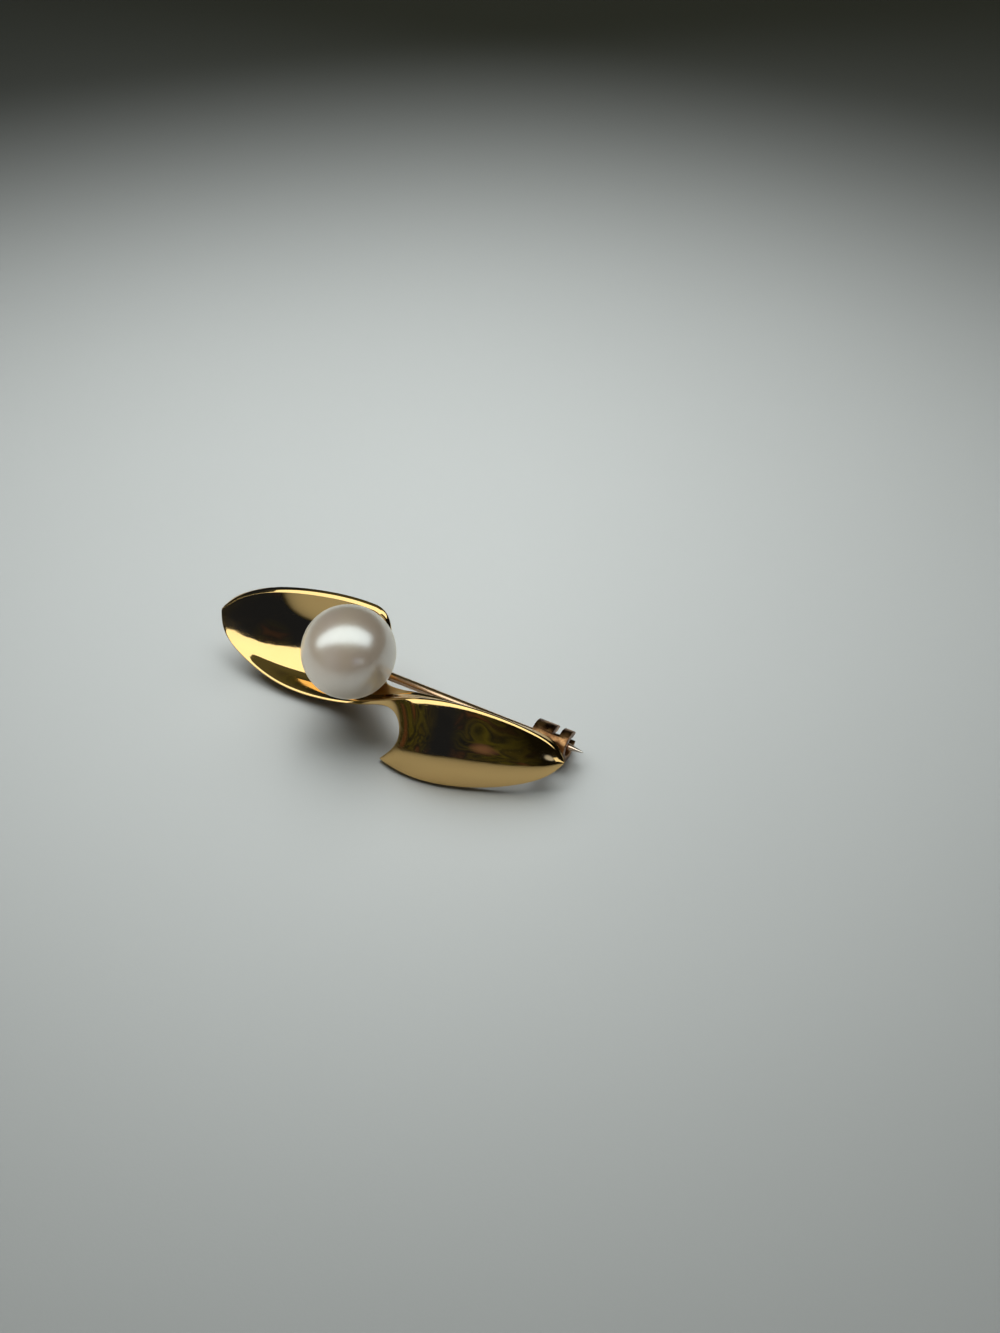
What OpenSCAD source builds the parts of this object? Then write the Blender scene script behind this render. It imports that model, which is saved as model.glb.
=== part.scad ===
// Leaf brooch: a twisted leaf of gold sheet with one pearl, lying on its back.
// Millimetres. The surface it lies on is z = 0, x runs along the leaf, y away from the near edge.

/* [Leaf] */
// Thickness of the gold sheet
sheet_t = 0.5; // [0.45:0.05:0.6]
// How far the shell's near face swells out at its fullest
face_swell = 0.8; // [0.6:0.05:0.9]
// How far the spoon's far wall swells out at its fullest
wall_swell = 1.3; // [1.2:0.05:1.4]
// Tightness of the ridge, smaller is sharper
ridge_round = 0.16; // [0.1:0.02:0.3]

/* [Pearl] */
// Diameter of the pearl
pearl_d = 7.5; // [7:0.1:7.6]
// Diameter of the peg that it is set on
peg_d = 0.8; // [0.6:0.05:1]
// How far the peg goes into the pearl
peg_in = 2.0; // [1:0.1:3]

/* [Pin] */
// Diameter of the pin
pin_d = 0.74; // [0.6:0.02:0.8]
// Height of the pin's axis above the surface
pin_z = 1.3; // [1.3:0.05:1.4]
// Length of the pin from its pivot to its point
pin_len = 26.6; // [26.3:0.1:27.5]
// Length of the ground point
point_len = 2.6; // [2:0.1:3.5]
// Angle between the pin and the leaf's length
pin_turn = 2.43; // [2:0.01:3]

/* [Hinge] */
// Diameter of the pin's flattened eye
eye_d = 1.5; // [1.4:0.05:1.6]
// Height of the eye
eye_h = 0.8; // [0.76:0.02:0.9]
// Diameter of the rivet
rivet_d = 0.7; // [0.5:0.05:0.7]
// Thickness of the hinge's two ears
ear_t = 0.45; // [0.4:0.05:0.45]

/* [Catch] */
// Outer diameter of the catch
catch_d = 2.6; // [2.5:0.05:2.6]
// Diameter of its bore
catch_bore = 1.5; // [1.4:0.05:1.6]
// Length of the catch along the pin
catch_len = 3.0; // [2.8:0.1:3.2]
// Height of its mouth
catch_mouth = 1.0; // [0.95:0.05:1.1]

/* [Hidden] */

// The middle of the whole object's outline seen from above, which becomes the origin
centre = [0.19, -0.74, 0];
// The pin's pivot
pivot = [-10.2, 1.5, pin_z];
// The pearl's centre and the way from it down to the sheet
pearl_at = [-2.66, -1.04, 6.0];
peg_way = [-0.03, 0.69, -0.72];
// The gap between moving and fixed metal, and the rivet's gap in the hinge
run_gap = 0.1;
fit_gap = 0.03;

// The four lines that the sheet hangs on, from the left tip to the right tip. Columns: x, y, z.
// The near edge stands on the surface along the right lobe, and runs unseen below the left one.
near_edge = [
    [-16.0, -0.55, 3.7], [-15.5, -1.7, 1.7], [-13.1, -2.8, 0.6], [-9, -3.7, -0.7], [-5, -3.2, -1.0],
    [-1, -3.4, -0.6], [1.9, -5.3, 0.5], [5.9, -5.75, 0.15], [10.9, -3.9, 0.2], [15.1, -1.2, 1.0],
    [15.95, 0.35, 2.2]];
// The ridge is the left lobe's near rim and the right lobe's crest.
ridge = [
    [-16.0, -0.55, 3.7], [-15.4, -1.65, 2.4], [-13.1, -2.4, 1.6], [-9, -3.15, 0.9], [-5, -2.65, 0.85],
    [-1.2, -1.95, 1.7], [2.1, -2.4, 4.75], [6.4, -1.75, 6.55], [10.8, -0.5, 5.7], [14.7, 0.6, 3.8],
    [15.95, 0.35, 2.2]];
// The valley is the left lobe's floor and the right lobe's far edge.
valley = [
    [-16.0, -0.55, 3.7], [-15.2, -1.1, 3.0], [-13, -1.65, 2.0], [-9, -0.95, 0.8], [-5, -0.6, 0.7],
    [-1.2, -0.8, 1.7], [2.4, -1.1, 4.2], [6.6, -0.6, 4.7], [10.9, 0.2, 4.3], [14.8, 1.5, 3.4],
    [15.95, 0.35, 2.2]];
// The far rim is the left lobe's upper edge.
far_rim = [
    [-16.0, -0.55, 3.7], [-15.6, 0.4, 4.7], [-12.8, 1.8, 5.9], [-9, 2.6, 6.6], [-5, 3.4, 6.95],
    [-1.3, 3.7, 6.7], [3, 3, 6], [7, 2, 6], [11, 1.5, 5], [15, 1.2, 3.6],
    [15.95, 0.35, 2.2]];
// What each row of those lines adds. Columns: how far the near face leans to the right in millimetres,
// then shares of the near face's swelling, of the far wall's swelling and of the ridge's roundness.
row_shape = [
    [0, 0, 0, 1], [0, 0, 0, 1], [0, 0.4, 0.2, 1], [0, 0.4, 1, 1], [0, 0.4, 1, 1], [0.7, 0.25, 0.9, 0.3],
    [1.9, 0.4, 0.4, 0.3], [0.6, 0.95, 0, 0.7], [0, 1, 0, 0.9], [0, 0.6, 0, 0.9], [0, 0, 0, 0.9]];

// Places across the sheet: 0 near edge, 1 face, 2 and 3 ridge, 4 flank, 5 valley, 6 wall, 7 far rim
at_edge = 0;
at_rim = 2.1;
at_valley = 5;
at_top = 7;
// The two notches as open curves. Columns: place along the leaf in rows, place across the sheet.
near_notch = [[5.3, at_rim], [5.7, 2.05], [6.02, 1.7], [6.14, 1.2], [6.16, 0.7], [6.13, 0.3], [6.1, at_edge]];
far_notch = [[4.5, at_top], [4.78, 6.95], [4.9, 6.4], [4.95, 5.8], [5.2, 5.2], [5.9, at_valley]];
last_row = len(ridge) - 1;
// The tips end a little short, so that they are blunt
tip_row = 0.06;
// Steps of the mesh: along the left lobe, behind the pearl, round the near notch, along the right lobe
steps = [20, 6, 12, 22];
across = 18;

// Cubic B-spline through the two end points
function weights(f) = [
    pow(1 - f, 3) / 6, (3 * pow(f, 3) - 6 * f * f + 4) / 6,
    (-3 * pow(f, 3) + 3 * f * f + 3 * f + 1) / 6, pow(f, 3) / 6];
function row(p, i) =
    i < 0 ? 2 * p[0] - p[1] :
    i >= len(p) ? 2 * p[len(p) - 1] - p[len(p) - 2] : p[i];
function curve(p, u) =
    let (i = min(max(floor(u), 0), len(p) - 2), w = weights(u - i))
    w[0] * row(p, i - 1) + w[1] * row(p, i) + w[2] * row(p, i + 1) + w[3] * row(p, i + 2);
function unit(a) = a / max(norm(a), 0.000001);

// The way that a face swells, out and down
swell_way = [0, 0.75, -0.65];
// Where the near face's control point lies, as a share of the way from the near edge to the ridge
face_share = 0.42;

// One section of the sheet, as eight control points from the near edge to the far rim
function section(u) =
    let (
        a = curve(near_edge, u), b = curve(ridge, u), c = curve(valley, u), d = curve(far_rim, u),
        add = curve(row_shape, u), tight = ridge_round * add[3],
        face = a + face_share * (b - a) + [add[0], 0, 0] - face_swell * add[1] * swell_way,
        flank = (b + c) / 2,
        wall = (c + d) / 2 + wall_swell * add[2] * swell_way)
    [a, face, b + tight * (face - b), b + tight * (flank - b), flank, c, wall, d];
function sheet_point(u, v) = curve(section(u), v);

// The sheet's outward direction at a point, taken a little way in from the tips, where lines meet
step = 0.01;
tip_in = 0.4;
function sheet_normal(u, v) =
    let (
        u0 = min(max(u, tip_in), last_row - tip_in), v0 = min(v, at_top - step),
        p = sheet_point(u0, v0),
        du = sheet_point(u0 + step, v0) - p,
        dv = sheet_point(u0, v0 + step) - p)
    unit(cross(du, dv));

// The sheet is filed thin towards its tips
tip_thin = 0.35;
thin_rows = 0.8;
function thickness(u) = sheet_t * (tip_thin + (1 - tip_thin) * min(1, min(u, last_row - u) / thin_rows));

// Rows crowd together towards a tip, so that it comes out round
crowding = 1.6;
function tip_rows(end, n, v) = [for (i = [0:n - 1]) [tip_row + (end - tip_row) * pow(i / n, crowding), v]];
function tail_rows(start, n, v) =
    [for (i = [0:n]) [last_row - tip_row - (last_row - tip_row - start) * pow(1 - i / n, crowding), v]];
function along(p, n) = [for (i = [0:n - 1]) curve(p, (len(p) - 1) * i / n)];

// How many of the steps round the near notch face the far notch
notch_shared = 4;
near_end = near_notch[len(near_notch) - 1][0];
far_end = far_notch[len(far_notch) - 1][0];
near_bound = concat(
    tip_rows(near_notch[0][0], steps[0] + steps[1], at_rim),
    along(near_notch, steps[2]),
    tail_rows(near_end, steps[3], at_edge));
far_bound = concat(
    tip_rows(far_notch[0][0], steps[0], at_top),
    along(far_notch, steps[1] + notch_shared),
    tail_rows(far_end, steps[3] + steps[2] - notch_shared, at_valley));
rows = len(near_bound);

// Where the grid's point lies in the sheet's own two directions
function place(i, j) = near_bound[i] + (far_bound[i] - near_bound[i]) * j / (across - 1);

module gold_sheet() {
    top = [for (i = [0:rows - 1]) for (j = [0:across - 1])
        let (q = place(i, j)) sheet_point(q[0], q[1])];
    bottom = [for (i = [0:rows - 1]) for (j = [0:across - 1])
        let (q = place(i, j)) sheet_point(q[0], q[1]) - thickness(q[0]) * sheet_normal(q[0], q[1])];
    count = rows * across;
    quads = [for (i = [0:rows - 2]) for (j = [0:across - 2])
        [i * across + j, i * across + j + 1, (i + 1) * across + j + 1, (i + 1) * across + j]];
    upper = [for (q = quads) each [[q[0], q[1], q[2]], [q[0], q[2], q[3]]]];
    lower = [for (t = upper) [count + t[2], count + t[1], count + t[0]]];
    rim = concat(
        [for (j = [0:across - 1]) j],
        [for (i = [1:rows - 1]) i * across + across - 1],
        [for (j = [across - 2:-1:0]) (rows - 1) * across + j],
        [for (i = [rows - 2:-1:1]) i * across]);
    n = len(rim);
    edge = [for (k = [0:n - 1]) let (a = rim[k], b = rim[(k + 1) % n])
        each [[b, a, count + a], [b, count + a, count + b]]];
    polyhedron(points = concat(top, bottom), faces = concat(upper, lower, edge));
}

// A frame whose x runs along the pin from its pivot
module on_pin() {
    translate(pivot) rotate([0, 0, pin_turn]) children();
}

ear_gap = eye_h + 2 * run_gap;
hinge_h = ear_gap + 2 * ear_t;
hinge_w = 1.9;
hinge_back = 1.35;
hinge_front = 0.85;
// The bracket's foot, a plate that lies along the sheet's underside
foot_t = 0.6;
foot_l = 1.9;
foot_w = 2.1;
foot_tilt = 48;
foot_at = [-0.35, -0.35, 1.05];

module hinge() {
    on_pin() difference() {
        union() {
            translate([-hinge_back, -hinge_w / 2, -hinge_h / 2]) cube([hinge_back, hinge_w, hinge_h]);
            translate([0, 0, -hinge_h / 2]) cylinder(d = hinge_w, h = hinge_h, $fn = 48);
            translate(foot_at) rotate([foot_tilt, 0, 0]) cube([foot_w, foot_l, foot_t], center = true);
        }
        translate([-hinge_front, -hinge_w, -ear_gap / 2]) cube([3 * hinge_w, 2 * hinge_w, ear_gap]);
        translate([0, 0, -hinge_h]) cylinder(d = rivet_d + fit_gap, h = 1.5 * hinge_h + run_gap, $fn = 32);
    }
}

catch_from = 22.4;
// How far a shape that cuts runs past what it cuts
past = 1;
// The slot that parts the two collars stays clear of their near and lower side
slot_from = 24.05;
slot_w = 0.55;
slot_near = -0.35;
slot_low = -0.5;
// The tab that carries the catch leans back from it up to the right lobe's far edge
tab_t = 0.5;
tab_tilt = 133;
tab_root = 0.95;
tab_from = 22.7;
tab_to = 24.2;
tab_long = 3.2;
tab_short = 2.7;

module catch() {
    on_pin() {
        difference() {
            translate([catch_from, 0, 0]) rotate([0, 90, 0]) cylinder(d = catch_d, h = catch_len, $fn = 64);
            translate([catch_from - past, 0, 0]) rotate([0, 90, 0])
                cylinder(d = catch_bore, h = catch_len + 2 * past, $fn = 48);
            translate([catch_from - past, 0, -catch_mouth / 2])
                cube([catch_len + 2 * past, catch_d, catch_mouth]);
            translate([slot_from, slot_near, slot_low]) cube([slot_w, catch_d, catch_d]);
        }
        rotate([tab_tilt, 0, 0]) translate([0, 0, -tab_t / 2]) linear_extrude(tab_t) polygon([
            [tab_from, tab_root], [tab_to, tab_root], [tab_to, tab_short], [tab_from, tab_long]]);
    }
}

// Runs its children along the pearl's peg, with z towards the sheet
module on_peg() {
    tilt = acos(peg_way[2] / norm(peg_way));
    turn = atan2(peg_way[1], peg_way[0]);
    translate(pearl_at) rotate([0, tilt, turn]) children();
}

// How far from the pearl's centre the peg ends, inside the sheet
peg_root = 4.15;

module leaf() {
    color("gold") translate(-centre) union() {
        gold_sheet();
        hinge();
        catch();
        on_peg() translate([0, 0, pearl_d / 2 - peg_in])
            cylinder(d = peg_d, h = peg_root - pearl_d / 2 + peg_in, $fn = 32);
    }
}

module pearl() {
    color("ivory") translate(-centre) difference() {
        translate(pearl_at) sphere(d = pearl_d, $fn = 96);
        on_peg() translate([0, 0, pearl_d / 2 - peg_in - run_gap])
            cylinder(d = peg_d + run_gap, h = pearl_d, $fn = 32);
    }
}

rivet_head_d = 1.1;
// The rivet's head is what the left lobe rests on
rivet_head_h = pin_z - hinge_h / 2;

module hinge_rivet() {
    color("peru") translate(-centre) on_pin() {
        translate([0, 0, -hinge_h / 2]) cylinder(d = rivet_d, h = hinge_h, $fn = 32);
        translate([0, 0, -hinge_h / 2 - rivet_head_h]) cylinder(d = rivet_head_d, h = rivet_head_h, $fn = 32);
    }
}

// Diameter that is left at the very point
point_d = 0.14;

module pin_stem() {
    color("rosybrown") translate(-centre) on_pin() {
        difference() {
            union() {
                translate([0, 0, -eye_h / 2]) cylinder(d = eye_d, h = eye_h, $fn = 48);
                rotate([0, 90, 0]) cylinder(d = pin_d, h = pin_len - point_len, $fn = 32);
            }
            translate([0, 0, -eye_h]) cylinder(d = rivet_d + run_gap, h = 2 * eye_h, $fn = 32);
        }
        translate([pin_len - point_len, 0, 0]) rotate([0, 90, 0])
            cylinder(d1 = pin_d, d2 = point_d, h = point_len, $fn = 32);
    }
}

leaf();
pearl();
hinge_rivet();
pin_stem();
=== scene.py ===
"""A twisted leaf brooch of polished gold sheet with one pearl, lying on its back on a pale table.

Sizes of the object are in millimetres and are turned into metres as each mesh is made. Lights are placed in
metres.
"""

import math

import bmesh
import bpy
import numpy as np
from mathutils import Matrix, Vector, noise


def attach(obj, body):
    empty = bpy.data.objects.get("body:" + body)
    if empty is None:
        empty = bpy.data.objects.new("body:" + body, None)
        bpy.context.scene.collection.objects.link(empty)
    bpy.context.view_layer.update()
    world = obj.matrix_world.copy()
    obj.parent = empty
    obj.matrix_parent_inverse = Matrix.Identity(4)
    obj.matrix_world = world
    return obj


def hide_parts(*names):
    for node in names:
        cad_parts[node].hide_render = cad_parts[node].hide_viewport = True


MM = 0.001

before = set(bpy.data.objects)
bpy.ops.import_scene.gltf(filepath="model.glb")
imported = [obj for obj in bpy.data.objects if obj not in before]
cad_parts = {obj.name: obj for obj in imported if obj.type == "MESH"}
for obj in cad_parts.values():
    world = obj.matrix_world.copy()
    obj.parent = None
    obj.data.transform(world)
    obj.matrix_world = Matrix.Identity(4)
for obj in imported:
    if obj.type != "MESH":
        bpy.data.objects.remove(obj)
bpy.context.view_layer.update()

# The shape of the sheet

# The middle of the object's outline seen from above, which is the frame's origin
CENTRE = np.array([0.19, -0.74, 0.0])
# The sheet's thickness and the two ends of the leaf
SHEET_T = 0.5
TIP_1 = (-16.0, -0.55, 3.7)
TIP_2 = (15.95, 0.35, 2.2)
# The four lines that the sheet hangs on, from the left tip to the right tip. Columns: x, y, z.
NEAR_EDGE = [
    TIP_1, (-15.5, -1.7, 1.7), (-13.1, -2.8, 0.6), (-9, -3.7, -0.7), (-5, -3.2, -1.0), (-1, -3.4, -0.6),
    (1.9, -5.3, 0.5), (5.9, -5.75, 0.15), (10.9, -3.9, 0.2), (15.1, -1.2, 1.0), TIP_2]
RIDGE = [
    TIP_1, (-15.4, -1.65, 2.4), (-13.1, -2.4, 1.6), (-9, -3.15, 0.9), (-5, -2.65, 0.85),
    (-1.2, -1.95, 1.7), (2.1, -2.4, 4.75), (6.4, -1.75, 6.55), (10.8, -0.5, 5.7), (14.7, 0.6, 3.8), TIP_2]
VALLEY = [
    TIP_1, (-15.2, -1.1, 3.0), (-13, -1.65, 2.0), (-9, -0.95, 0.8), (-5, -0.6, 0.7), (-1.2, -0.8, 1.7),
    (2.4, -1.1, 4.2), (6.6, -0.6, 4.7), (10.9, 0.2, 4.3), (14.8, 1.5, 3.4), TIP_2]
FAR_RIM = [
    TIP_1, (-15.6, 0.4, 4.7), (-12.8, 1.8, 5.9), (-9, 2.6, 6.6), (-5, 3.4, 6.95), (-1.3, 3.7, 6.7),
    (3, 3, 6), (7, 2, 6), (11, 1.5, 5), (15, 1.2, 3.6), TIP_2]
# What each row of those lines adds. Columns: how far the near face leans to the right, then shares of the
# near face's swelling, of the far wall's swelling and of the ridge's roundness.
ROW_SHAPE = [
    (0, 0, 0, 1), (0, 0, 0, 1), (0, 0.4, 0.2, 1), (0, 0.4, 1, 1), (0, 0.4, 1, 1), (0.7, 0.25, 0.9, 0.3),
    (1.9, 0.4, 0.4, 0.3), (0.6, 0.95, 0, 0.7), (0, 1, 0, 0.9), (0, 0.6, 0, 0.9), (0, 0, 0, 0.9)]
LAST_ROW = len(RIDGE) - 1
# Places across the sheet: 0 near edge, 1 face, 2 and 3 ridge, 4 flank, 5 valley, 6 wall, 7 far rim.
# The left lobe begins at its ridge, and the right lobe ends at its valley.
AT_EDGE = 0
AT_RIDGE = 2.1
AT_VALLEY = 5
AT_TOP = 7
# The two notches as open curves. Columns: place along the leaf in rows, place across the sheet.
NEAR_NOTCH = [
    (5.3, AT_RIDGE), (5.7, 2.05), (6.02, 1.7), (6.14, 1.2), (6.16, 0.7), (6.13, 0.3), (6.1, AT_EDGE)]
FAR_NOTCH = [(4.5, AT_TOP), (4.78, 6.95), (4.9, 6.4), (4.95, 5.8), (5.2, 5.2), (5.9, AT_VALLEY)]
# How far the near face swells out and the far wall sinks in, and the way that the wall sinks
FACE_SWELL = 0.8
WALL_SWELL = 1.3
SWELL_WAY = np.array([0, 0.75, -0.65])
# How round the ridge is: its two control points lie this share of the way to their neighbours
RIDGE_ROUND = 0.16
# Where the near face's control point lies, as a share of the way from the near edge to the ridge
FACE_SHARE = 0.42
# The mesh begins this many rows in from each tip
TIP_ROW = 0.06
# Closer to a tip than this many rows the four lines run together, so directions are taken here
TIP_IN = 0.4
# The share of the thickness that a tip keeps, and the number of rows over which it is filed thin
TIP_THIN = 0.35
THIN_ROWS = 0.8
# Steps of the mesh: left lobe, behind the pearl, round the near notch, right lobe, and across
STEPS = (90, 24, 60, 110)
ACROSS = 96
# How much closer together the mesh's rows stand towards the tips, as a power
TIP_EASE = 1.6
# The rim's section from the upper face to the underside, plain and with the wide polished chamfer that the
# left lobe's far rim has. Columns: outward and downward, both in thicknesses.
PLAIN_RIM = [
    (0.03, 0.01), (0.08, 0.04), (0.12, 0.09), (0.15, 0.17), (0.16, 0.30), (0.16, 0.50), (0.15, 0.75),
    (0.12, 0.90), (0.06, 0.98)]
WIDE_RIM = [
    (0.03, 0.015), (0.09, 0.055), (0.21, 0.145), (0.33, 0.23), (0.44, 0.32), (0.51, 0.42), (0.60, 0.60),
    (0.69, 0.78), (0.64, 0.92)]
# The rows of the far rim between which the chamfer runs out, and the share of it that the left tip has
WIDE_UNTIL = (4.8, 5.2)
WIDE_AT_TIP = 0.3
# How the mesh's rows are drawn in to make room for the rim: the least sine that counts for the angle between
# a row and the outline, the rounds of smoothing, and the largest share of a row
INSET_SINE = 0.7
INSET_ROUNDS = 6
INSET_MOST = 0.12
# Rounds of smoothing of the rim's direction
TANGENT_ROUNDS = 4


def unit(a):
    """Vectors of length one along a's last axis."""
    return a / np.maximum(np.linalg.norm(a, axis=-1, keepdims=True), 1e-9)


def spline_weights(f):
    """The four weights of a uniform cubic B-spline at the fraction f of a span."""
    return (
        (1 - f) ** 3 / 6, (3 * f**3 - 6 * f**2 + 4) / 6, (-3 * f**3 + 3 * f**2 + 3 * f + 1) / 6, f**3 / 6)


def curve(points, u):
    """A B-spline that begins and ends on its end points, at u from 0 to the last point's number."""
    p = np.asarray(points, float)
    p = np.vstack([2 * p[0] - p[1], p, 2 * p[-1] - p[-2]])
    u = np.clip(u, 0, len(p) - 3)
    i = np.minimum(np.floor(u).astype(int), len(p) - 4)
    weights = spline_weights((u - i)[..., None])
    return sum(w * p[i + k] for k, w in enumerate(weights))


def sheet_points(u, v):
    """Points of the sheet's upper side, u rows along the leaf and v places across it."""
    a, b, c, d = (curve(line, u) for line in (NEAR_EDGE, RIDGE, VALLEY, FAR_RIM))
    lean, face_share, wall_share, ridge_share = np.moveaxis(curve(ROW_SHAPE, u)[..., None], -2, 0)
    face = a + FACE_SHARE * (b - a) + lean * np.array([1.0, 0, 0]) - FACE_SWELL * face_share * SWELL_WAY
    flank = (b + c) / 2
    wall = (c + d) / 2 + WALL_SWELL * wall_share * SWELL_WAY
    tight = RIDGE_ROUND * ridge_share
    section = [a, face, b + tight * (face - b), b + tight * (flank - b), flank, c, wall, d]
    section = [2 * section[0] - section[1], *section, 2 * section[-1] - section[-2]]
    section = np.stack(section, axis=-2)
    v = np.clip(v, 0, AT_TOP)
    i = np.minimum(np.floor(v).astype(int), AT_TOP - 1)
    weights = spline_weights((v - i)[..., None])
    rows = [np.take_along_axis(section, (i + k)[..., None, None], axis=-2)[..., 0, :] for k in range(4)]
    return sum(w * r for w, r in zip(weights, rows))


def sheet_normals(u, v, step=0.01):
    """The upper side's outward directions, taken a little way in from the tips, where the lines meet."""
    u = np.clip(u, TIP_IN, LAST_ROW - TIP_IN)
    v = np.clip(v, step, AT_TOP - step)
    along = sheet_points(u + step, v) - sheet_points(u - step, v)
    over = sheet_points(u, v + step) - sheet_points(u, v - step)
    return unit(np.cross(along, over))


def thickness(u):
    """The sheet is filed thin towards its tips."""
    from_tip = np.minimum(u, LAST_ROW - u) / THIN_ROWS
    return SHEET_T * (TIP_THIN + (1 - TIP_THIN) * np.minimum(1, from_tip))


def boundaries():
    """The sheet's near and far outline, as pairs of places, one pair a row of the mesh."""
    left, hidden, notch, right = STEPS
    far_end = LAST_ROW - TIP_ROW

    def from_tip(end, count, v):
        f = np.arange(count) / count
        return np.column_stack([TIP_ROW + (end - TIP_ROW) * f**TIP_EASE, np.full(count, v)])

    def to_tip(start, count, v):
        f = np.arange(count + 1) / count
        return np.column_stack([far_end - (far_end - start) * (1 - f) ** TIP_EASE, np.full(count + 1, v)])

    def along(points, count):
        return curve(points, (len(points) - 1) * np.arange(count) / count)

    # The far notch ends across from the first third of the near notch
    shared = notch // 3
    near = np.vstack([
        from_tip(NEAR_NOTCH[0][0], left + hidden, AT_RIDGE),
        along(NEAR_NOTCH, notch),
        to_tip(NEAR_NOTCH[-1][0], right, AT_EDGE)])
    far = np.vstack([
        from_tip(FAR_NOTCH[0][0], left, AT_TOP),
        along(FAR_NOTCH, hidden + shared),
        to_tip(FAR_NOTCH[-1][0], right + notch - shared, AT_VALLEY)])
    return near, far


def new_object(name, vertices, faces, material, normals=None):
    """A smooth mesh object from points in millimetres in the sheet's own frame."""
    mesh = bpy.data.meshes.new(name)
    mesh.from_pydata(((np.asarray(vertices, float) - CENTRE) * MM).tolist(), [], faces)
    mesh.validate()
    mesh.shade_smooth()
    mesh.materials.append(material)
    if normals is not None:
        mesh.normals_split_custom_set_from_vertices(np.asarray(normals, float).tolist())
    made = bpy.data.objects.new(name, mesh)
    bpy.context.scene.collection.objects.link(made)
    return made


def rim_width(place):
    """How wide the chamfer is at each point of the grid's outline, from 0 to 1."""
    wide = np.zeros(place.shape[:2])
    wide[:, -1] = np.interp(place[:, -1, 0], (0, TIP_IN, *WIDE_UNTIL), (WIDE_AT_TIP, 1, 1, 0))
    return wide


def inset_shares(place, wide):
    """The shares of each row left out at its start and end, so that the rim comes out on the outline."""
    # A row's length is judged by its first tenth
    tenth = place.shape[1] // 10
    steps = np.linspace(0, 1, place.shape[1])
    reach = np.max(np.stack([PLAIN_RIM, WIDE_RIM]), axis=1)[:, 0]
    points = sheet_points(place[..., 0], place[..., 1])
    shares = []
    for end, rows in ((0, points), (-1, points[:, ::-1])):
        tangent = unit(np.gradient(rows[:, 0], axis=0))[:, None]
        apart = np.linalg.norm(np.cross(rows - rows[:, :1], tangent), axis=-1)
        apart = np.maximum.accumulate(apart, axis=1)
        wanted = (reach[0] + wide[:, end] * (reach[1] - reach[0])) * thickness(place[:, end, 0])
        share = [np.interp(far_in, row, steps) for far_in, row in zip(wanted, apart)]
        length = np.linalg.norm(rows[:, tenth] - rows[:, 0], axis=-1) / steps[tenth]
        share = np.minimum(share, wanted / (INSET_SINE * length))
        for _ in range(INSET_ROUNDS):
            share[1:-1] = (share[:-2] + 2 * share[1:-1] + share[2:]) / 4
        shares.append(np.minimum(share, INSET_MOST))
    return shares


def make_sheet(material):
    """The gold sheet: upper side, underside and a polished rim all the way round."""
    near, far = boundaries()
    share = np.linspace(0, 1, ACROSS)[None, :, None]
    place = near[:, None] * (1 - share) + far[:, None] * share
    wide = rim_width(place)
    start, stop = inset_shares(place, wide)
    share = start[:, None, None] + share * (1 - start - stop)[:, None, None]
    place = near[:, None] * (1 - share) + far[:, None] * share
    u, v = place[..., 0], place[..., 1]
    rows = len(near)
    top = sheet_points(u, v)
    normal = sheet_normals(u, v)
    depth = thickness(u)[..., None]
    bottom = top - depth * normal

    number = np.arange(rows * ACROSS).reshape(rows, ACROSS)
    quads = np.stack([number[:-1, :-1], number[:-1, 1:], number[1:, 1:], number[1:, :-1]], axis=-1)
    quads = quads.reshape(-1, 4)
    offset = rows * ACROSS
    faces = quads[:, ::-1].tolist() + (quads + offset).tolist()

    # The rim, level by level from the upper side's outline to the underside's
    ring = np.concatenate([number[0, :-1], number[:-1, -1], number[-1, :0:-1], number[:0:-1, 0]])
    points = top.reshape(-1, 3)[ring]
    up = normal.reshape(-1, 3)[ring]
    deep = depth.reshape(-1, 1)[ring]
    ahead = np.roll(points, -1, axis=0)
    behind = np.roll(points, 1, axis=0)
    tangent = unit(unit(ahead - points) + unit(points - behind))
    for _ in range(TANGENT_ROUNDS):
        tangent = unit(np.roll(tangent, 1, axis=0) + 2 * tangent + np.roll(tangent, -1, axis=0))
    out = unit(np.cross(up, tangent))
    mix = wide.reshape(-1, 1)[ring]
    plain, chamfer = (np.array([(0, 0), *section, (0, 1)], float) for section in (PLAIN_RIM, WIDE_RIM))
    profile = [a + mix * (b - a) for a, b in zip(plain, chamfer)]
    slope = np.gradient(np.array(profile), axis=0)
    rim_points = [points + deep * (out * p[:, :1] - up * p[:, 1:]) for p in profile[1:-1]]
    rim_normals = [unit(out * s[:, 1:] + up * s[:, :1]) for s in slope[1:-1]]
    count = len(ring)
    first = 2 * offset
    between = [first + k * count + np.arange(count) for k in range(len(PLAIN_RIM))]
    levels = [ring, *between, ring + offset]
    for upper, lower in zip(levels[:-1], levels[1:]):
        faces += np.stack([upper, np.roll(upper, -1), np.roll(lower, -1), lower], axis=-1).tolist()

    vertices = np.vstack([top.reshape(-1, 3), bottom.reshape(-1, 3), *rim_points])
    normals = np.vstack([normal.reshape(-1, 3), -normal.reshape(-1, 3), *rim_normals])
    return new_object("leaf_sheet", vertices, faces, material, normals)


# Helpers for the findings and the pearl

# The pin's pivot, and how far the pin is turned from the x axis, in degrees
PIVOT = np.array([-10.2, 1.5, 1.3])
PIN_TURN = 2.43
NO_TURN = Matrix.Identity(4)
# Sides of a cylinder that is cut or joined, and of the pin's and the rivet's own
CYLINDER_SIDES = 64
WIRE_SIDES = 40
# The rounding of cut edges: its steps, and the angle in degrees from which an edge is rounded
BEVEL_STEPS = 3
BEVEL_ANGLE = 35
# The angle in degrees from which an edge is shaded as sharp
SHARP_ANGLE = 40
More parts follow.
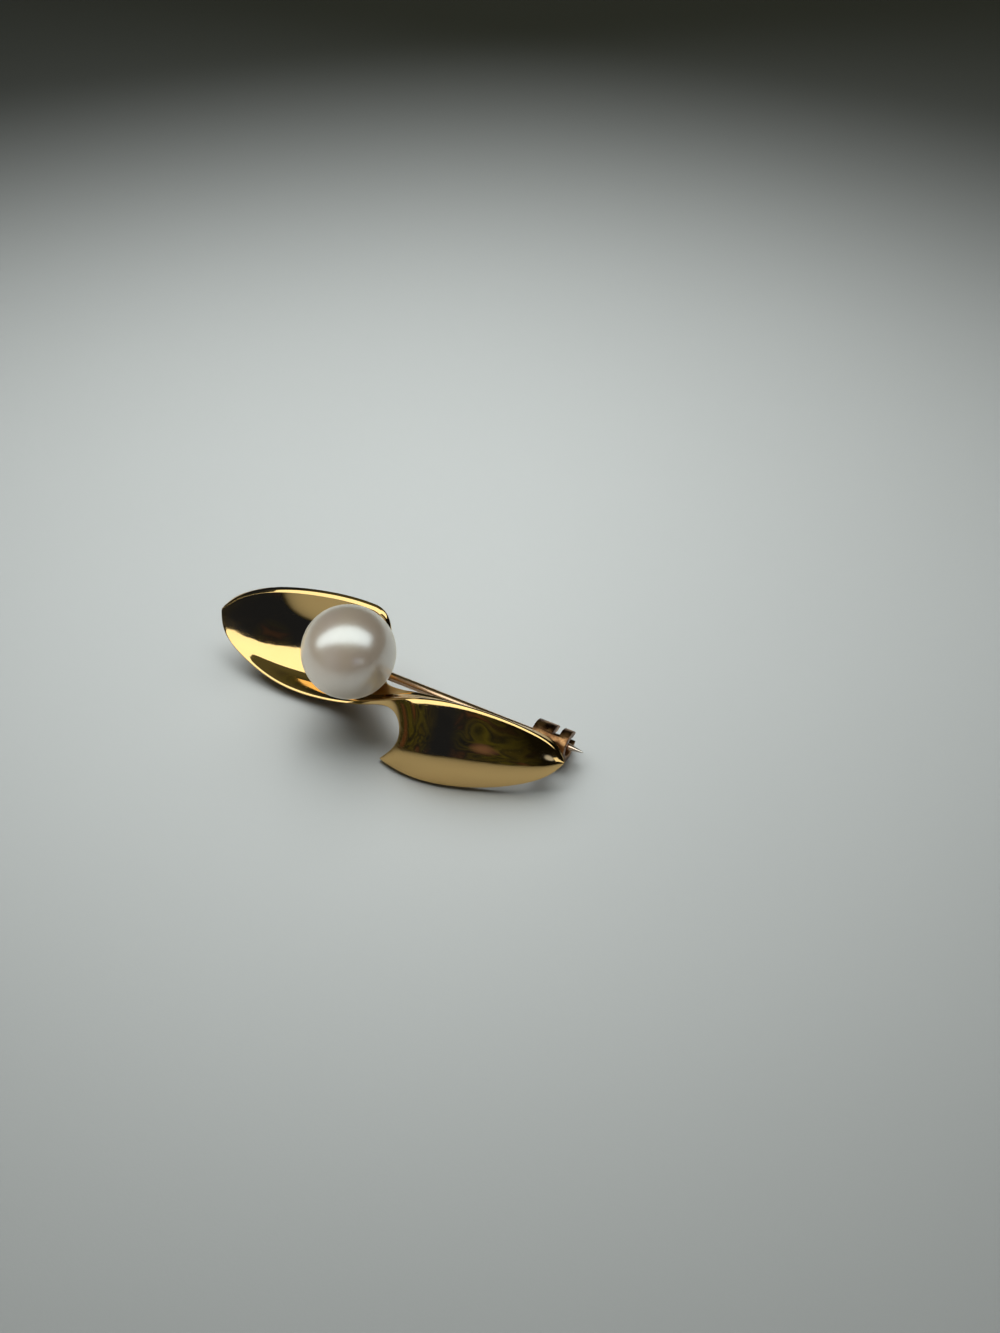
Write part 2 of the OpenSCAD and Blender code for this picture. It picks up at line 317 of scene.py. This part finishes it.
# How far a hole reaches past each end of what it cuts
PAST = 1
# The gap between parts that move on each other, and between parts that sit tight
RUN_GAP = 0.1
FIT_GAP = 0.03


def shade(made, angle=SHARP_ANGLE):
    """Smooth shading, with sharp edges from an angle in degrees."""
    made.data.shade_smooth()
    made.data.set_sharp_from_angle(angle=math.radians(angle))


def turned(degrees, axis):
    """A turn about an axis."""
    return Matrix.Rotation(math.radians(degrees), 4, axis)


def lathe(name, profile, at, way, material, sides):
    """Turns a profile about an axis and closes its two ends.

    Columns of the profile: distance along the axis, radius.
    """
    way = unit(np.asarray(way, float))
    upright = abs(way[2]) > 0.9
    side = unit(np.cross(way, [1.0, 0.0, 0.0] if upright else [0.0, 0.0, 1.0]))
    other = np.cross(way, side)
    turn = np.linspace(0, 2 * math.pi, sides, endpoint=False)
    spokes = np.cos(turn)[:, None] * side + np.sin(turn)[:, None] * other
    rings = [np.asarray(at) + way * x + spokes * r for x, r in profile]
    faces = []
    for k in range(len(profile) - 1):
        a = k * sides + np.arange(sides)
        b = a + sides
        faces += np.stack([a, np.roll(a, -1), np.roll(b, -1), b], axis=-1).tolist()
    faces.append(list(range(sides))[::-1])
    faces.append([(len(profile) - 1) * sides + k for k in range(sides)])
    return new_object(name, np.vstack(rings), faces, material)


def pin_frame():
    """The turn and place of a frame whose x runs along the pin from its pivot."""
    return Matrix.Translation(Vector(PIVOT - CENTRE) * MM) @ turned(PIN_TURN, "Z")


def solid(shape, at=(0, 0, 0), turn=NO_TURN):
    """A helper object from a shape, placed and turned in the pin's frame."""
    mesh = bpy.data.meshes.new("part")
    place = Matrix.Translation(Vector(at) * MM) @ turn
    shape.transform(pin_frame() @ place)
    shape.to_mesh(mesh)
    shape.free()
    made = bpy.data.objects.new("part", mesh)
    bpy.context.scene.collection.objects.link(made)
    return made


def box(size, at=(0, 0, 0), turn=NO_TURN):
    """A box in the pin's frame."""
    shape = bmesh.new()
    bmesh.ops.create_cube(shape, size=1)
    bmesh.ops.scale(shape, vec=Vector(size) * MM, verts=shape.verts)
    return solid(shape, at, turn)


def cylinder(radius, length, at=(0, 0, 0), turn=NO_TURN):
    """A cylinder along z in the pin's frame."""
    shape = bmesh.new()
    bmesh.ops.create_cone(
        shape, cap_ends=True, segments=CYLINDER_SIDES, radius1=radius * MM, radius2=radius * MM,
        depth=length * MM)
    return solid(shape, at, turn)


def combine(made, parts, operation):
    """Joins helper solids to an object, or takes them away."""
    for part in parts:
        step = made.modifiers.new("step", "BOOLEAN")
        step.operation = operation
        step.object = part
        step.solver = "EXACT"


def bake(made, parts):
    """Bakes an object's modifiers into its mesh and removes the helper solids that they used."""
    bpy.context.view_layer.update()
    graph = bpy.context.evaluated_depsgraph_get()
    mesh = bpy.data.meshes.new_from_object(made.evaluated_get(graph))
    made.modifiers.clear()
    made.data = mesh
    for part in parts:
        bpy.data.objects.remove(part)


def cut(name, solids, holes, material, bevel):
    """Joins solids, takes holes away, and rounds the edges that are left."""
    made, *others = solids
    made.name = name
    combine(made, others, "UNION")
    combine(made, holes, "DIFFERENCE")
    rounding = made.modifiers.new("rounding", "BEVEL")
    rounding.width = bevel * MM
    rounding.segments = BEVEL_STEPS
    rounding.limit_method = "ANGLE"
    rounding.angle_limit = math.radians(BEVEL_ANGLE)
    rounding.use_clamp_overlap = True
    bake(made, others + holes)
    made.data.materials.clear()
    made.data.materials.append(material)
    shade(made)
    return made


# The hinge

EYE_R = 0.75
EYE_H = 0.8
RIVET_R = 0.35
EAR_T = 0.45
EAR_GAP = EYE_H + 2 * RUN_GAP
HINGE_H = EAR_GAP + 2 * EAR_T
HINGE_W = 1.9
# How far back from the rivet the bracket reaches, and the gap between its ears
HINGE_BACK = 1.35
GAP_BACK = 0.85
HINGE_EDGE = 0.06
# The bracket's foot lies along the sheet's underside. Its sizes along x, y and z, its place and its tilt.
FOOT = (2.1, 1.9, 0.6)
FOOT_AT = (-0.35, -0.35, 1.05)
FOOT_TILT = 48


def make_hinge(material):
    """The folded bracket under the left lobe, with two ears for the rivet."""
    block = box((HINGE_BACK, HINGE_W, HINGE_H), (-HINGE_BACK / 2, 0, 0))
    nose = cylinder(HINGE_W / 2, HINGE_H)
    foot = box(FOOT, FOOT_AT, turned(FOOT_TILT, "X"))
    gap = box((3 * HINGE_W, 2 * HINGE_W, EAR_GAP), (1.5 * HINGE_W - GAP_BACK, 0, 0))
    bore_top = HINGE_H / 2 + RUN_GAP
    bore = cylinder(RIVET_R + FIT_GAP / 2, bore_top + HINGE_H, (0, 0, (bore_top - HINGE_H) / 2))
    return cut("hinge_bracket", [block, nose, foot], [gap, bore], material, HINGE_EDGE)


# The catch

CATCH_R = 1.3
CATCH_BORE_R = 0.75
# Where the catch begins, as the distance from the pivot along the pin, and its length
CATCH_FROM = 22.4
CATCH_LEN = 3.0
# The height of the mouth on the far side
MOUTH = 1.0
# The slot between the two collars: where it begins, its width, and the y and z from which on it is cut
SLOT_FROM = 24.05
SLOT_W = 0.55
SLOT_Y = -0.35
SLOT_Z = -0.5
COLLAR_EDGE = 0.1
TAB_T = 0.5
TAB_TILT = 133
TAB_EDGE = 0.08
# The tab's outline. Columns: along the pin, away from it.
TAB = [(22.7, 0.95), (24.2, 0.95), (24.2, 2.7), (22.7, 3.2)]


def make_collars(material):
    """The round catch: two collars, open on the far side."""
    along = turned(90, "Y")
    middle = CATCH_FROM + CATCH_LEN / 2
    through = CATCH_LEN + 2 * PAST
    tube = cylinder(CATCH_R, CATCH_LEN, (middle, 0, 0), along)
    bore = cylinder(CATCH_BORE_R, through, (middle, 0, 0), along)
    mouth = box((through, 2 * CATCH_R, MOUTH), (middle, CATCH_R, 0))
    slot_at = (SLOT_FROM + SLOT_W / 2, CATCH_R + SLOT_Y, CATCH_R + SLOT_Z)
    slot = box((SLOT_W, 2 * CATCH_R, 2 * CATCH_R), slot_at)
    return cut("catch_collars", [tube], [bore, mouth, slot], material, COLLAR_EDGE)


def make_tab(material):
    """The tab that carries the catch."""
    shape = bmesh.new()
    sides = (-TAB_T / 2, TAB_T / 2)
    corners = [shape.verts.new(Vector((x, y, z)) * MM) for z in sides for x, y in TAB]
    count = len(TAB)
    shape.faces.new(corners[:count][::-1])
    shape.faces.new(corners[count:])
    for k in range(count):
        after = (k + 1) % count
        shape.faces.new([corners[k], corners[after], corners[count + after], corners[count + k]])
    return cut("catch_tab", [solid(shape, turn=turned(TAB_TILT, "X"))], [], material, TAB_EDGE)


# The pin and its rivet

PIN_R = 0.37
PIN_LEN = 26.6
POINT_LEN = 2.6
# The ground point: the power of its curve, the radius that the curve keeps, and its rings as shares of the
# point's length. The last ring's columns: distance from the pivot, radius.
POINT_POWER = 1.6
POINT_KEEPS = 0.05
POINT_RINGS = np.linspace(0, 0.97, 14)
POINT_END = (PIN_LEN - 0.01, 0.03)
# How far inside the eye the stem begins, and how far outside it the next ring lies
STEM_IN = 0.25
STEM_OUT = 0.4
EYE_EDGE = 0.1
# The rivet's head: its radius, the power that flattens its dome, and the dome's rings in radians
HEAD_R = 0.55
HEAD_POWER = 0.5
HEAD_RINGS = np.linspace(1.45, 0, 9)
# How far down and in the rivet's upper edge is chamfered
RIVET_EDGE_H = 0.05
RIVET_EDGE_R = 0.06
RIVET_SHARP = 50


def make_pin(material):
    """The pin: a flattened eye, a round stem and a long ground point."""
    way = np.array([math.cos(math.radians(PIN_TURN)), math.sin(math.radians(PIN_TURN)), 0])
    shoulder = PIN_LEN - POINT_LEN
    ground = [
        (shoulder + POINT_LEN * f, PIN_R * (1 - f**POINT_POWER) + POINT_KEEPS * f) for f in POINT_RINGS]
    profile = [(EYE_R - STEM_IN, PIN_R), (EYE_R + STEM_OUT, PIN_R), *ground, POINT_END]
    stem = lathe("pin", profile, PIVOT, way, material, WIRE_SIDES)
    bore = cylinder(RIVET_R + RUN_GAP / 2, 2 * EYE_H)
    eye = cut("eye", [cylinder(EYE_R, EYE_H)], [bore], material, EYE_EDGE)
    combine(stem, [eye], "UNION")
    bake(stem, [eye])
    shade(stem)
    return stem


def make_rivet(material):
    """The rivet, with a domed head below."""
    head_h = PIVOT[2] - HINGE_H / 2
    end = head_h + HINGE_H
    dome = [(head_h * (1 - math.sin(a)), HEAD_R * math.cos(a) ** HEAD_POWER) for a in HEAD_RINGS]
    profile = [
        *dome, (head_h, HEAD_R), (head_h, RIVET_R), (end - RIVET_EDGE_H, RIVET_R),
        (end, RIVET_R - RIVET_EDGE_R)]
    made = lathe("rivet", profile, (PIVOT[0], PIVOT[1], 0), (0, 0, 1), material, WIRE_SIDES)
    shade(made, RIVET_SHARP)
    return made


# The pearl and its peg

PEARL_AT = np.array([-2.66, -1.04, 6.0])
PEARL_R = 3.75
PEG_WAY = unit(np.array([-0.03, 0.69, -0.72]))
PEG_R = 0.4
# How deep the peg stands in the pearl, and the chamfer at its end
PEG_IN = 2.0
PEG_EDGE = 0.06
PEG_SIDES = 48
# The fillet of solder at the peg's foot. Columns: distance from the pearl's middle, how much wider it is.
PEG_FILLET = [(3.55, 0), (3.75, 0.05), (3.87, 0.18), (4.0, 0.25), (4.15, 0.2)]
# The pearl's mesh: rings, the first ring's angle from the pole in radians, and sides
PEARL_RINGS = 150
POLE_ANGLE = 0.002
PEARL_SIDES = 192
PEARL_SHARP = 60
# The lip of the pearl's bore: how deep it is, and how much narrower the bore is below it
LIP_DEPTH = 0.1
LIP_STEP = 0.01
# How far the pearl is from round, as a share of its radius, over waves of this many in a radius
UNEVEN = 0.004
UNEVEN_WAVES = 1.3
UNEVEN_FROM = Vector((3.1, 0.4, 7.7))
# Points of its mesh from this share of the radius outward lie on its surface, the others in the bore
SURFACE_FROM = 0.9


def make_peg(material):
    """The peg that the pearl is set on, with the fillet of solder at its foot."""
    start = PEARL_R - PEG_IN
    profile = [(start, PEG_R - PEG_EDGE), (start + PEG_EDGE, PEG_R)]
    profile += [(along, PEG_R + wider) for along, wider in PEG_FILLET]
    return lathe("pearl_peg", profile, PEARL_AT, PEG_WAY, material, PEG_SIDES)


def make_pearl(material):
    """The pearl, drilled for the peg and not quite round, as pearls are."""
    bore_r = PEG_R + RUN_GAP / 2
    countersink = math.asin(bore_r / PEARL_R)
    angles = np.linspace(math.pi - POLE_ANGLE, countersink, PEARL_RINGS)
    profile = [(PEARL_R * math.cos(a), PEARL_R * math.sin(a)) for a in angles]
    profile += [(PEARL_R - LIP_DEPTH, bore_r - LIP_STEP), (PEARL_R - PEG_IN - RUN_GAP, bore_r - LIP_STEP)]
    made = lathe("pearl_drop", profile, PEARL_AT, PEG_WAY, material, PEARL_SIDES)
    middle = Vector(PEARL_AT - CENTRE) * MM
    for vertex in made.data.vertices:
        arm = vertex.co - middle
        if arm.length > SURFACE_FROM * PEARL_R * MM:
            wave = noise.noise(arm.normalized() * UNEVEN_WAVES + UNEVEN_FROM)
            vertex.co = middle + arm * (1 - UNEVEN + UNEVEN * wave)
    shade(made, PEARL_SHARP)
    return made


# Materials


class Nodes:
    """A short way to write the nodes of a material or of the world."""

    def __init__(self, owner, coordinates="Object"):
        self.owner = owner
        owner.use_nodes = True
        self.tree = owner.node_tree
        self.place = self.add("ShaderNodeTexCoord").outputs[coordinates]

    def add(self, kind, settings=None, **inputs):
        """A node of that kind. Inputs are named as on the node, with _ for a space."""
        made = self.tree.nodes.new(kind)
        for key, value in (settings or {}).items():
            setattr(made, key, value)
        for key, value in inputs.items():
            self.feed(made.inputs[key.replace("_", " ")], value)
        return made

    def feed(self, socket, value):
        """Links an output to a socket, or sets the socket's own value."""
        if isinstance(value, bpy.types.NodeSocket):
            self.tree.links.new(value, socket)
        else:
            socket.default_value = value

    def noise(self, per_mm, detail, turn=(0, 0, 0)):
        """Noise with so many cycles a millimetre along x, y and z, turned by degrees."""
        size = per_mm if isinstance(per_mm, tuple) else (per_mm,) * 3
        mapping = self.add(
            "ShaderNodeMapping", Vector=self.place, Scale=[s / MM for s in size],
            Rotation=[math.radians(t) for t in turn])
        made = self.add("ShaderNodeTexNoise", Vector=mapping.outputs[0], Scale=1.0, Detail=detail)
        return made.outputs["Fac"]

    def ramp(self, value, *stops):
        """A colour ramp. Each stop is a place and a grey or a colour."""
        made = self.add("ShaderNodeValToRGB", Fac=value)
        line = made.color_ramp
        while len(line.elements) < len(stops):
            line.elements.new(0.5)
        for element, (at, colour) in zip(line.elements, stops):
            element.position = at
            tone = (colour,) * 3 if isinstance(colour, (int, float)) else colour
            element.color = (*tone, 1)
        return made.outputs["Color"]

    def between(self, value, start, end):
        """How far a value is on the way from start to end, from 0 to 1."""
        return self.add("ShaderNodeMapRange", Value=value, From_Min=start, From_Max=end).outputs["Result"]

    def math(self, operation, a, b=0.0):
        """A sum, product and so on of two values."""
        made = self.add("ShaderNodeMath", {"operation": operation})
        self.feed(made.inputs[0], a)
        self.feed(made.inputs[1], b)
        return made.outputs[0]

    def graded(self, value, factor, base):
        """A value times a factor, on top of a base."""
        return self.math("ADD", self.math("MULTIPLY", value, factor), base)

    def mix(self, share, a, b):
        """A mix of two colours."""
        made = self.add("ShaderNodeMix", {"data_type": "RGBA"})
        self.feed(made.inputs["Factor"], share)
        for socket, value in (("A", a), ("B", b)):
            target = next(s for s in made.inputs if s.name == socket and s.type == "RGBA")
            self.feed(target, value if isinstance(value, bpy.types.NodeSocket) else (*value, 1))
        return next(s for s in made.outputs if s.type == "RGBA")

    def bump(self, height, strength, distance_mm, normal=None):
        """A bump of so many millimetres."""
        made = self.add("ShaderNodeBump", Height=height, Strength=strength, Distance=distance_mm * MM)
        if normal is not None:
            self.feed(made.inputs["Normal"], normal)
        return made.outputs[0]

    def finish(self, **inputs):
        """Feeds the Principled shader and returns the material."""
        shader = self.tree.nodes["Principled BSDF"]
        for key, value in inputs.items():
            if isinstance(value, tuple):
                value = (*value, 1)
            self.feed(shader.inputs[key.replace("_", " ")], value)
        return self.owner


def gold_sheet_material():
    """Mirror-polished yellow gold with fine scratches, wiped smears and the soft waves of polishing."""
    n = Nodes(bpy.data.materials.new("polished_gold"))
    waves = n.noise(0.22, 1.0)
    ripple = n.noise((0.5, 1.4, 1.4), 2.0, (0, 0, 12))
    scratch_1 = n.ramp(n.noise((1.2, 26, 26), 1.0, (0, 0, 17)), (0.68, 0.0), (0.74, 1.0))
    scratch_2 = n.ramp(n.noise((30, 1.6, 30), 1.0, (0, 10, -38)), (0.70, 0.0), (0.76, 1.0))
    scratches = n.math("MAXIMUM", scratch_1, scratch_2)
    smears = n.ramp(n.noise((0.5, 1.1, 0.9), 5.0, (0, 0, 30)), (0.45, 0.0), (0.75, 1.0))
    marks = n.math("ADD", n.math("MULTIPLY", smears, 0.05), n.math("MULTIPLY", scratches, 0.05))
    roughness = n.math("ADD", marks, 0.05)
    colour = n.mix(n.noise(0.35, 4.0), (0.80, 0.54, 0.225), (0.77, 0.50, 0.20))
    normal = n.bump(waves, 1.0, 0.05)
    normal = n.bump(ripple, 1.0, 0.004, normal)
    normal = n.bump(scratches, 0.2, 0.0015, normal)
    return n.finish(Base_Color=colour, Metallic=1.0, Roughness=roughness, Normal=normal)


def findings_material():
    """Solder-heated gold, brown with tarnish in patches and bright only where it was rubbed."""
    n = Nodes(bpy.data.materials.new("findings_gold"))
    colour = n.ramp(
        n.noise(1.3, 5.0),
        (0.36, (0.07, 0.03, 0.012)), (0.5, (0.22, 0.105, 0.045)), (0.66, (0.55, 0.30, 0.13)))
    roughness = n.graded(n.noise(2.2, 4.0), 0.3, 0.16)
    normal = n.bump(n.noise(2.5, 4.0), 0.6, 0.02)
    return n.finish(Base_Color=colour, Metallic=1.0, Roughness=roughness, Normal=normal)


# The places of the pin's two colours are shares of this x, a little past its point
PIN_REACH = 17


def pin_material():
    """Drawn rose gold wire whose ground point shows silvery."""
    n = Nodes(bpy.data.materials.new("pin_gold"))
    split = n.add("ShaderNodeSeparateXYZ", Vector=n.place)
    along = n.math("DIVIDE", split.outputs["X"], PIN_REACH * MM)
    colour = n.ramp(along, (0.86, (0.84, 0.56, 0.36)), (0.95, (0.80, 0.76, 0.70)))
    drawn = n.noise((0.3, 14, 14), 2.0, (0, 0, -PIN_TURN))
    roughness = n.graded(drawn, 0.16, 0.16)
    normal = n.bump(drawn, 0.3, 0.003)
    return n.finish(Base_Color=colour, Metallic=1.0, Roughness=roughness, Normal=normal)


def pearl_material():
    """Cream white nacre: a warm body under layers that mirror the room softly, with a warm rim."""
    n = Nodes(bpy.data.materials.new("nacre"))
    colour = n.mix(n.noise(0.3, 3.0), (0.53, 0.395, 0.30), (0.58, 0.445, 0.34))
    roughness = n.graded(n.noise(0.9, 4.0), 0.06, 0.27)
    skin = n.bump(n.noise(0.4, 1.0), 0.15, 0.003)
    return n.finish(
        Base_Color=colour, Roughness=roughness, Normal=skin, IOR=2.7, Specular_Tint=(0.78, 0.95, 1.0),
        Coat_Weight=1.0, Coat_Roughness=0.27, Coat_IOR=2.6, Sheen_Weight=1.0, Sheen_Roughness=0.45,
        Sheen_Tint=(1.0, 0.93, 0.78))


def table_material():
    """A pale grey satin table top with a very fine tooth."""
    n = Nodes(bpy.data.materials.new("table_top"))
    tooth = n.noise(5.0, 2.0)
    tone = n.mix(n.noise(0.02, 4.0), (0.44, 0.44, 0.44), (0.47, 0.47, 0.47))
    return n.finish(Base_Color=tone, Roughness=0.5, Normal=n.bump(tooth, 0.25, 0.012))


# The pieces on their bodies

gold = gold_sheet_material()
findings = findings_material()

sheet = make_sheet(gold)
peg = make_peg(gold)
hinge = make_hinge(findings)
collars = make_collars(findings)
tab = make_tab(findings)
rivet = make_rivet(findings)
pearl = make_pearl(pearl_material())
pin = make_pin(pin_material())

for piece in (sheet, peg, hinge, collars, tab):
    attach(piece, "brooch")
    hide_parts("leaf")
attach(pearl, "brooch")
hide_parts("pearl")
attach(rivet, "brooch")
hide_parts("hinge_rivet")
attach(pin, "pin")
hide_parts("pin_stem")

# The table, in metres

TABLE_SIZE = 3.0


def make_table():
    """A flat pale table top."""
    mesh = bpy.data.meshes.new("table")
    half = TABLE_SIZE / 2
    corners = [(-half, -half, 0), (half, -half, 0), (half, half, 0), (-half, half, 0)]
    mesh.from_pydata(corners, [], [(0, 1, 2, 3)])
    mesh.materials.append(table_material())
    made = bpy.data.objects.new("table", mesh)
    bpy.context.scene.collection.objects.link(made)
    return made


# The camera

# It looks down at this angle, turned this far round the object
ELEVATION = 47
AZIMUTH = 30
CAMERA_AT = np.array([44.09, -58.31, 82.57])
# The photograph's focal length and long side, both in pixels
FOCAL_PX = 1350
LONG_SIDE_PX = 1333


def direction(azimuth, elevation):
    """The way from the object to something at that azimuth and elevation, as a unit vector."""
    a, e = math.radians(azimuth), math.radians(elevation)
    return Vector((math.sin(a) * math.cos(e), -math.cos(a) * math.cos(e), math.sin(e)))


# The level ways towards the camera and to its right, and the way up
TOWARD = direction(AZIMUTH, 0)
RIGHT = direction(AZIMUTH + 90, 0)
UP = Vector((0, 0, 1))


def make_camera():
    """The camera at the photograph's angle and distance."""
    data = bpy.data.cameras.new("camera")
    data.sensor_width = 36
    data.lens = data.sensor_width * FOCAL_PX / LONG_SIDE_PX
    data.clip_start = 0.005
    data.clip_end = 20
    made = bpy.data.objects.new("camera", data)
    made.location = Vector(CAMERA_AT - CENTRE) * MM
    made.rotation_euler = (-direction(AZIMUTH, ELEVATION)).to_track_quat("-Z", "Y").to_euler()
    bpy.context.scene.collection.objects.link(made)
    bpy.context.scene.camera = made


# The room that the object mirrors

# The patches' cycles, and how much they are bent. Columns of the stops: place, colour.
PATCH_SCALE = 3.2
PATCH_BEND = 1.2
PATCH_STOPS = [
    (0.30, (0.006, 0.008, 0.012)), (0.40, (0.065, 0.072, 0.02)), (0.46, (0.010, 0.012, 0.016)),
    (0.54, (0.06, 0.062, 0.02)), (0.60, (0.014, 0.014, 0.016)), (0.68, (0.08, 0.045, 0.03))]
# The black gap: how far to the left it lies, and the distances from there over which the patches begin
GAP_LEFT = 0.5
GAP_FADE = (0.10, 0.42)
GAP_TONE = (0.012, 0.017, 0.036)
# The black right side, and how far to the right it begins
DARK_FADE = (0.0, 0.25)
DARK_TONE = (0.006, 0.006, 0.004)
# A rosy and a pale spot. Columns: way to the right, towards the camera and up, fade, colour.
SPOTS = [
    ((-0.10, 0.95, 0.28), (0.990, 0.998), (0.20, 0.13, 0.14)),
    ((0.38, 0.86, 0.34), (0.995, 0.998), (0.5, 0.6, 0.9))]
# The paler part above
ABOVE_FADE = (0.7, 0.9)
ABOVE_TONE = (0.09, 0.095, 0.06)
# The wall behind the table, as the camera sees it
WALL_TONE = (0.017, 0.0175, 0.015)


def make_room():
    """A dim room of olive and brown patches with a black gap, a black side and two spots, paler above."""
    world = bpy.data.worlds.new("room")
    n = Nodes(world, "Generated")
    patches = n.add(
        "ShaderNodeTexNoise", Vector=n.place, Scale=PATCH_SCALE, Detail=1.0, Distortion=PATCH_BEND)
    colour = n.ramp(patches.outputs["Fac"], *PATCH_STOPS)

    def along(way):
        """How far a direction of the room goes a given way."""
        made = n.add("ShaderNodeVectorMath", {"operation": "DOT_PRODUCT"})
        n.feed(made.inputs[0], n.place)
        n.feed(made.inputs[1], way)
        return made.outputs["Value"]

    to_right = along(RIGHT)
    off_gap = n.math("ABSOLUTE", n.math("ADD", to_right, GAP_LEFT))
    colour = n.mix(n.between(off_gap, *GAP_FADE), GAP_TONE, colour)
    colour = n.mix(n.between(to_right, *DARK_FADE), colour, DARK_TONE)
    for (right, toward, up), fade, tone in SPOTS:
        near_spot = along(RIGHT * right + TOWARD * toward + UP * up)
        colour = n.mix(n.between(near_spot, *fade), colour, tone)
    colour = n.mix(n.between(along(UP), *ABOVE_FADE), colour, ABOVE_TONE)
    # The camera sees a plain wall, and the patches only as reflections
    seen = n.add("ShaderNodeLightPath").outputs["Is Camera Ray"]
    colour = n.mix(seen, colour, WALL_TONE)
    n.feed(n.tree.nodes["Background"].inputs["Color"], colour)
    bpy.context.scene.world = world


# The lights, in metres

LIGHT_TINT = (0.94, 1.0, 0.985)
# The wide boxes above the object: their height, and in heights how far they reach to the right. In the rows
# of the metal's and the pearl's box: in heights how far it reaches towards the camera, radiance.
BOX_HEIGHT = 0.16
BOX_ASIDE = (-3.0, 1.43)
METAL_BOX = ((-0.12, 0.78), 1.7)
PEARL_BOX = ((-0.36, 0.42), 1.9)
# The table's boxes: how far back and up they stand, their size, the place in front of the object that they
# aim at, and their spread in degrees. Columns of the rows: name, how far to the right, radiance.
TABLE_BOX_BACK = 0.046
TABLE_BOX_UP = 0.09
TABLE_BOX_SIZE = (0.1, 0.09)
TABLE_BOX_AIM = 0.04
TABLE_BOX_SPREAD = 168
TABLE_BOXES = [("left_box", -0.024, 3.3), ("right_box", 0.036, 2.2)]
# Place, size and radiance of the fill for the pearl's lower half and of the small lamp on the right
FILL = ((TOWARD * 0.65 - RIGHT * 0.75) * 0.06 + UP * 0.018, (0.05, 0.05), 1.8)
LAMP = (Vector((0.868, -0.401, 0.29)) * 0.35, (0.05, 0.05), 1.2)


def area_light(name, at, size, radiance, aim=(0, 0, 0)):
    """A flat soft light that no camera sees, facing the object or another aim."""
    data = bpy.data.lights.new(name, "AREA")
    data.shape = "RECTANGLE"
    data.size, data.size_y = size
    data.energy = radiance * math.pi * size[0] * size[1]
    data.color = LIGHT_TINT
    made = bpy.data.objects.new(name, data)
    made.location = at
    made.rotation_euler = (Vector(aim) - Vector(at)).to_track_quat("-Z", "Y").to_euler()
    made.visible_camera = False
    bpy.context.scene.collection.objects.link(made)
    return made


def only_for(light, pieces):
    """Lets a light fall on these pieces alone."""
    collection = bpy.data.collections.new(light.name)
    for piece in pieces:
        collection.objects.link(piece)
    light.light_linking.receiver_collection = collection


def make_light(table, pearl, metal):
    """Wide soft boxes above the object, two boxes behind it for the table, a fill for the pearl and a lamp.

    The metal, the pearl and the table have boxes of their own, so that each shows what it shows in the
    photograph.
    """
    left_end, right_end = BOX_ASIDE
    for name, (reach, radiance), lit in (("metal_box", METAL_BOX, metal), ("pearl_box", PEARL_BOX, [pearl])):
        back_end, front_end = reach
        middle = TOWARD * (back_end + front_end) / 2 + RIGHT * (left_end + right_end) / 2 + UP
        size = (BOX_HEIGHT * (right_end - left_end), BOX_HEIGHT * (front_end - back_end))
        made = area_light(name, middle * BOX_HEIGHT, size, radiance)
        made.rotation_euler = (0, 0, math.radians(AZIMUTH))
        only_for(made, lit)
    for name, aside, radiance in TABLE_BOXES:
        at = RIGHT * aside - TOWARD * TABLE_BOX_BACK + UP * TABLE_BOX_UP
        made = area_light(name, at, TABLE_BOX_SIZE, radiance, TOWARD * TABLE_BOX_AIM)
        made.data.spread = math.radians(TABLE_BOX_SPREAD)
        only_for(made, [table])
    fill = area_light("pearl_fill", *FILL)
    # It gives the pearl no second highlight
    fill.visible_glossy = False
    only_for(fill, [pearl])
    area_light("lamp", *LAMP)


make_camera()
make_light(make_table(), pearl, (sheet, peg, hinge, collars, tab, rivet, pin))
make_room()
bpy.context.scene.view_settings.view_transform = "Standard"
